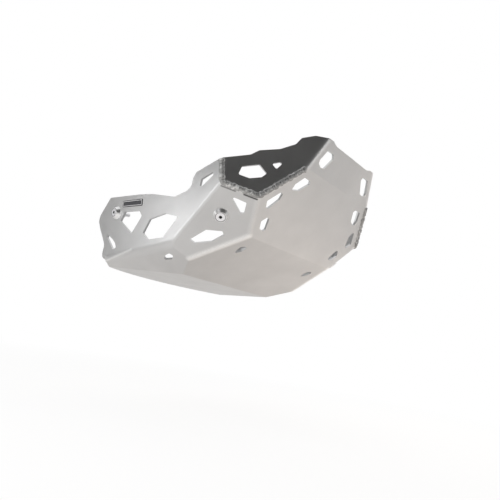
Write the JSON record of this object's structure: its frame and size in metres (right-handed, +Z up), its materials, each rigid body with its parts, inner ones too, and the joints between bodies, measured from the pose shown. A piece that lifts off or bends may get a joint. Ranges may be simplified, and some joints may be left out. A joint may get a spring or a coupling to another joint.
{
  "type": "engine guard",
  "caption": "Folded and welded aluminium engine guard for a motorbike, with a sloped nose, cut-out windows, side plates and countersunk screws on spacer sleeves",
  "frame": {"origin": "middle of the bounding box in plan, on the outer face of the flat bottom", "axes": "+X forward along the motorbike, +Y to its left, +Z up, square to the flat bottom"},
  "size_m": [0.4548, 0.4326, 0.246],
  "materials": {
    "sheet": "bead blasted and anodised, satin",
    "weld": "rippled weld filler, brushed",
    "turned": "turned, satin",
    "screw": "stainless, bright",
    "badge": "matt dark film plate, bare"
  },
  "bodies": {
    "root": {"guard_pan": "sheet", "weld_bead_right": "weld", "weld_bead_left": "weld", "rear_screw_right": "screw", "rear_screw_left": "screw", "front_screw_right": "screw", "front_screw_left": "screw", "rear_washer_right": "turned", "rear_washer_left": "turned", "front_washer_right": "turned", "front_washer_left": "turned", "rear_spacer_right": "turned", "rear_spacer_left": "turned", "front_spacer_right": "turned", "front_spacer_left": "turned", "badge_plate": "badge"}
  },
  "joints": []
}
